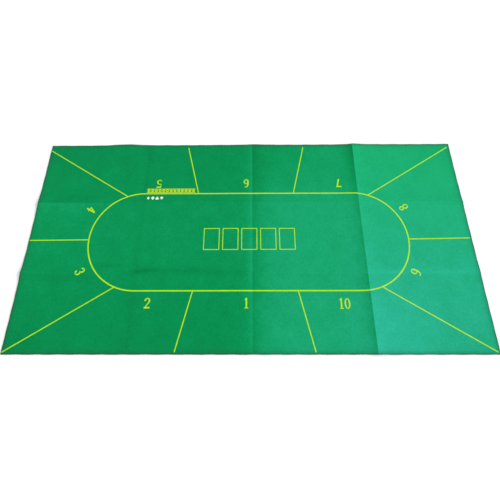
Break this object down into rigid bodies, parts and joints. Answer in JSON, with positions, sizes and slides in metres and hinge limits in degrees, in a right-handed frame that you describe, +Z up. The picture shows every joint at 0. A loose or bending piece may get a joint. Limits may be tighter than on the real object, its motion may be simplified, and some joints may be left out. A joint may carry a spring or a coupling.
{
  "type": "card table layout felt",
  "caption": "Folding rectangular green felt layout for a card table, printed with an oval betting line, seat dividers, seat numbers and card boxes.",
  "frame": {"origin": "centre of the cloth's underside, opened flat", "axes": "+X along the long edge, +Y to the back edge, +Z up out of the printed face"},
  "size_m": [1.8, 0.9, 0.0016],
  "materials": {
    "green_felt": "matt needle-punched felt with raw cut edges",
    "yellow_print": "thin screen-printed ink, slightly porous",
    "bright_yellow_print": "heavier screen-printed ink",
    "white_print": "thin screen-printed ink"
  },
  "bodies": {
    "far_left_front": {"felt_far_left_front": "green_felt", "line_far_left_front": "yellow_print", "seat_number_3_over_fold": "yellow_print"},
    "left_front": {"felt_left_front": "green_felt", "line_left_front": "yellow_print", "seat_number_1": "yellow_print", "seat_number_2": "yellow_print"},
    "right_front": {"felt_right_front": "green_felt", "line_right_front": "yellow_print", "seat_number_10": "yellow_print"},
    "far_right_front": {"felt_far_right_front": "green_felt", "line_far_right_front": "yellow_print", "seat_number_9_over_fold": "yellow_print"},
    "left_crease_front": {"felt_left_crease_front": "green_felt", "line_left_crease_front": "yellow_print"},
    "centre_crease_front": {"felt_centre_crease_front": "green_felt", "line_centre_crease_front": "yellow_print"},
    "right_crease_front": {"felt_right_crease_front": "green_felt", "line_right_crease_front": "yellow_print"},
    "far_left_middle": {"felt_far_left_middle": "green_felt", "line_far_left_middle": "yellow_print", "seat_number_3": "yellow_print", "seat_number_4": "yellow_print"},
    "left_middle": {"felt_left_middle": "green_felt", "card_box_1": "yellow_print", "card_box_2": "yellow_print", "card_box_3_left": "yellow_print"},
    "right_middle": {"felt_right_middle": "green_felt", "card_box_3_right": "yellow_print", "card_box_4": "yellow_print", "card_box_5": "yellow_print"},
    "far_right_middle": {"felt_far_right_middle": "green_felt", "line_far_right_middle": "yellow_print", "seat_number_8": "yellow_print", "seat_number_9": "yellow_print"},
    "left_crease_middle": {"felt_left_crease_middle": "green_felt"},
    "centre_crease_middle": {"felt_centre_crease_middle": "green_felt", "card_box_3_fold": "yellow_print"},
    "right_crease_middle": {"felt_right_crease_middle": "green_felt"},
    "far_left_back": {"felt_far_left_back": "green_felt", "line_far_left_back": "yellow_print"},
    "left_back": {"felt_left_back": "green_felt", "line_left_back": "yellow_print", "ornament_band": "bright_yellow_print", "seat_number_5": "yellow_print", "seat_number_6": "yellow_print", "suit_pips": "white_print"},
    "right_back": {"felt_right_back": "green_felt", "line_right_back": "yellow_print", "seat_number_7": "yellow_print"},
    "far_right_back": {"felt_far_right_back": "green_felt", "line_far_right_back": "yellow_print"},
    "left_crease_back": {"felt_left_crease_back": "green_felt", "line_left_crease_back": "yellow_print"},
    "centre_crease_back": {"felt_centre_crease_back": "green_felt", "line_centre_crease_back": "yellow_print"},
    "right_crease_back": {"felt_right_crease_back": "green_felt", "line_right_crease_back": "yellow_print"}
  },
  "joints": [
    {"name": "left_fold", "type": "hinge", "parent": "left_middle", "child": "far_left_middle", "pos_m": [-0.4514, 0, 0.00525], "axis": [0, 1, 0], "range_deg": [0, 180]},
    {"name": "left_fold_crease", "type": "hinge", "parent": "left_middle", "child": "left_crease_middle", "pos_m": [-0.4478, 0, 0.00165], "axis": [0, 1, 0], "range_deg": [0, 90]},
    {"name": "centre_fold", "type": "hinge", "parent": "left_middle", "child": "right_middle", "pos_m": [0.012, 0, 0.01065], "axis": [0, -1, 0], "range_deg": [0, 180]},
    {"name": "centre_fold_crease", "type": "hinge", "parent": "left_middle", "child": "centre_crease_middle", "pos_m": [0.003, 0, 0.00165], "axis": [0, -1, 0], "range_deg": [0, 90]},
    {"name": "right_fold", "type": "hinge", "parent": "right_middle", "child": "far_right_middle", "pos_m": [0.4634, 0, 0.00525], "axis": [0, -1, 0], "range_deg": [0, 180]},
    {"name": "right_fold_crease", "type": "hinge", "parent": "right_middle", "child": "right_crease_middle", "pos_m": [0.4598, 0, 0.00165], "axis": [0, -1, 0], "range_deg": [0, 90]},
    {"name": "front_fold", "type": "hinge", "parent": "left_middle", "child": "left_front", "pos_m": [-0.2224, -0.148, 0.00165], "axis": [-1, 0, 0], "range_deg": [0, 180]},
    {"name": "front_fold_far_left", "type": "hinge", "parent": "far_left_middle", "child": "far_left_front", "pos_m": [-0.6775, -0.148, 0.00165], "axis": [-1, 0, 0], "range_deg": [0, 180]},
    {"name": "front_fold_right", "type": "hinge", "parent": "right_middle", "child": "right_front", "pos_m": [0.2404, -0.148, 0.00165], "axis": [-1, 0, 0], "range_deg": [0, 180]},
    {"name": "front_fold_far_right", "type": "hinge", "parent": "far_right_middle", "child": "far_right_front", "pos_m": [0.6835, -0.148, 0.00165], "axis": [-1, 0, 0], "range_deg": [0, 180]},
    {"name": "front_fold_left_crease", "type": "hinge", "parent": "left_crease_middle", "child": "left_crease_front", "pos_m": [-0.4514, -0.148, 0.00165], "axis": [-1, 0, 0], "range_deg": [0, 180]},
    {"name": "front_fold_centre_crease", "type": "hinge", "parent": "centre_crease_middle", "child": "centre_crease_front", "pos_m": [0.012, -0.148, 0.00165], "axis": [-1, 0, 0], "range_deg": [0, 180]},
    {"name": "front_fold_right_crease", "type": "hinge", "parent": "right_crease_middle", "child": "right_crease_front", "pos_m": [0.4634, -0.148, 0.00165], "axis": [-1, 0, 0], "range_deg": [0, 180]},
    {"name": "back_fold", "type": "hinge", "parent": "left_middle", "child": "left_back", "pos_m": [-0.2224, 0.158, 0.00255], "axis": [1, 0, 0], "range_deg": [0, 180]},
    {"name": "back_fold_far_left", "type": "hinge", "parent": "far_left_middle", "child": "far_left_back", "pos_m": [-0.6775, 0.158, 0.00255], "axis": [1, 0, 0], "range_deg": [0, 180]},
    {"name": "back_fold_right", "type": "hinge", "parent": "right_middle", "child": "right_back", "pos_m": [0.2404, 0.158, 0.00255], "axis": [1, 0, 0], "range_deg": [0, 180]},
    {"name": "back_fold_far_right", "type": "hinge", "parent": "far_right_middle", "child": "far_right_back", "pos_m": [0.6835, 0.158, 0.00255], "axis": [1, 0, 0], "range_deg": [0, 180]},
    {"name": "back_fold_left_crease", "type": "hinge", "parent": "left_crease_middle", "child": "left_crease_back", "pos_m": [-0.4514, 0.158, 0.00255], "axis": [1, 0, 0], "range_deg": [0, 180]},
    {"name": "back_fold_centre_crease", "type": "hinge", "parent": "centre_crease_middle", "child": "centre_crease_back", "pos_m": [0.012, 0.158, 0.00255], "axis": [1, 0, 0], "range_deg": [0, 180]},
    {"name": "back_fold_right_crease", "type": "hinge", "parent": "right_crease_middle", "child": "right_crease_back", "pos_m": [0.4634, 0.158, 0.00255], "axis": [1, 0, 0], "range_deg": [0, 180]}
  ],
  "couplings": [
    {"joint": "left_fold_crease", "follows": "left_fold", "ratio": 0.5},
    {"joint": "centre_fold_crease", "follows": "centre_fold", "ratio": 0.5},
    {"joint": "right_fold_crease", "follows": "right_fold", "ratio": 0.5},
    {"joint": "front_fold_far_left", "follows": "front_fold", "ratio": 1},
    {"joint": "front_fold_right", "follows": "front_fold", "ratio": 1},
    {"joint": "front_fold_far_right", "follows": "front_fold", "ratio": 1},
    {"joint": "front_fold_left_crease", "follows": "front_fold", "ratio": 1},
    {"joint": "front_fold_centre_crease", "follows": "front_fold", "ratio": 1},
    {"joint": "front_fold_right_crease", "follows": "front_fold", "ratio": 1},
    {"joint": "back_fold_far_left", "follows": "back_fold", "ratio": 1},
    {"joint": "back_fold_right", "follows": "back_fold", "ratio": 1},
    {"joint": "back_fold_far_right", "follows": "back_fold", "ratio": 1},
    {"joint": "back_fold_left_crease", "follows": "back_fold", "ratio": 1},
    {"joint": "back_fold_centre_crease", "follows": "back_fold", "ratio": 1},
    {"joint": "back_fold_right_crease", "follows": "back_fold", "ratio": 1}
  ]
}
